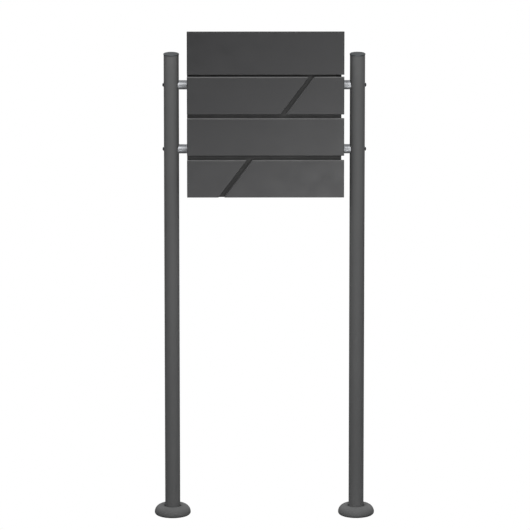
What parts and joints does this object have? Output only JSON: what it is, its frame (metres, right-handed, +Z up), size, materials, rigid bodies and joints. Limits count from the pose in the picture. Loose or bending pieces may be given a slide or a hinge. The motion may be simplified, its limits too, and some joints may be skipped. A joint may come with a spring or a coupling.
{
  "type": "post-mounted letterbox",
  "caption": "Letterbox with a slatted front door and a top letter flap, held between round posts that stand on flanged feet.",
  "frame": {"origin": "on the ground, midway between the two posts, at the middle of the depth", "axes": "+X to the right seen from the front, +Y away from the front, +Z up"},
  "size_m": [0.5274, 0.105, 1.2],
  "materials": {
    "powder_coat": "anthracite fine-texture powder coat, matt",
    "cap_plastic": "moulded anthracite plastic, lightly grained",
    "stainless": "turned stainless steel, fine marks round it",
    "dark_steel": "blackened steel, slightly oily",
    "zinc": "zinc-plated steel, faintly mottled",
    "chrome": "bright nickel plate on a die-cast lock",
    "rubber": "matt black moulded rubber"
  },
  "bodies": {
    "stand": {"left_post_tube": "powder_coat", "left_post_cap": "cap_plastic", "left_base_plate": "powder_coat", "left_base_rosette": "powder_coat", "upper_left_spacer": "stainless", "upper_left_bolt": "dark_steel", "upper_left_nut": "zinc", "lower_left_spacer": "stainless", "lower_left_bolt": "dark_steel", "lower_left_nut": "zinc", "right_post_tube": "powder_coat", "right_post_cap": "cap_plastic", "right_base_plate": "powder_coat", "right_base_rosette": "powder_coat", "upper_right_spacer": "stainless", "upper_right_bolt": "dark_steel", "upper_right_nut": "zinc", "lower_right_spacer": "stainless", "lower_right_bolt": "dark_steel", "lower_right_nut": "zinc", "body_wrap": "powder_coat", "top_cover": "powder_coat", "bottom_cover": "powder_coat", "door_bumper_1": "rubber", "door_bumper_2": "rubber", "upper_hinge_frame_leaf": "zinc", "upper_hinge_pin": "zinc", "lower_hinge_frame_leaf": "zinc", "lower_hinge_pin": "zinc"},
    "door": {"door_plate": "powder_coat", "strip_2_left": "powder_coat", "strip_2_left_nut_1": "zinc", "strip_2_left_nut_2": "zinc", "strip_2_right": "powder_coat", "strip_2_right_nut_1": "zinc", "strip_2_right_nut_2": "zinc", "strip_3": "powder_coat", "strip_3_nut_1": "zinc", "strip_3_nut_2": "zinc", "strip_4_left": "powder_coat", "strip_4_left_nut_1": "zinc", "strip_4_left_nut_2": "zinc", "strip_4_right": "powder_coat", "strip_4_right_nut_1": "zinc", "strip_4_right_nut_2": "zinc", "flap_bumper_1": "rubber", "flap_bumper_2": "rubber", "upper_hinge_door_leaf": "zinc", "lower_hinge_door_leaf": "zinc", "left_flap_bracket": "zinc", "right_flap_bracket": "zinc", "flap_hinge_rod": "zinc", "lock_housing": "chrome", "lock_nut": "zinc"},
    "flap": {"flap": "powder_coat"},
    "lock_barrel": {"lock_plug": "chrome", "lock_cam": "zinc", "cam_screw": "zinc"}
  },
  "joints": [
    {"name": "door_hinge", "type": "hinge", "parent": "stand", "child": "door", "pos_m": [-0.1804, -0.0355, 1], "axis": [0, 0, -1], "range_deg": [0, 110]},
    {"name": "flap_hinge", "type": "hinge", "parent": "door", "child": "flap", "pos_m": [0.0028, -0.0475, 1.188], "axis": [-1, 0, 0], "range_deg": [0, 75]},
    {"name": "lock_turn", "type": "hinge", "parent": "door", "child": "lock_barrel", "pos_m": [0.15, -0.04, 1.117], "axis": [0, -1, 0], "range_deg": [0, 90]}
  ]
}
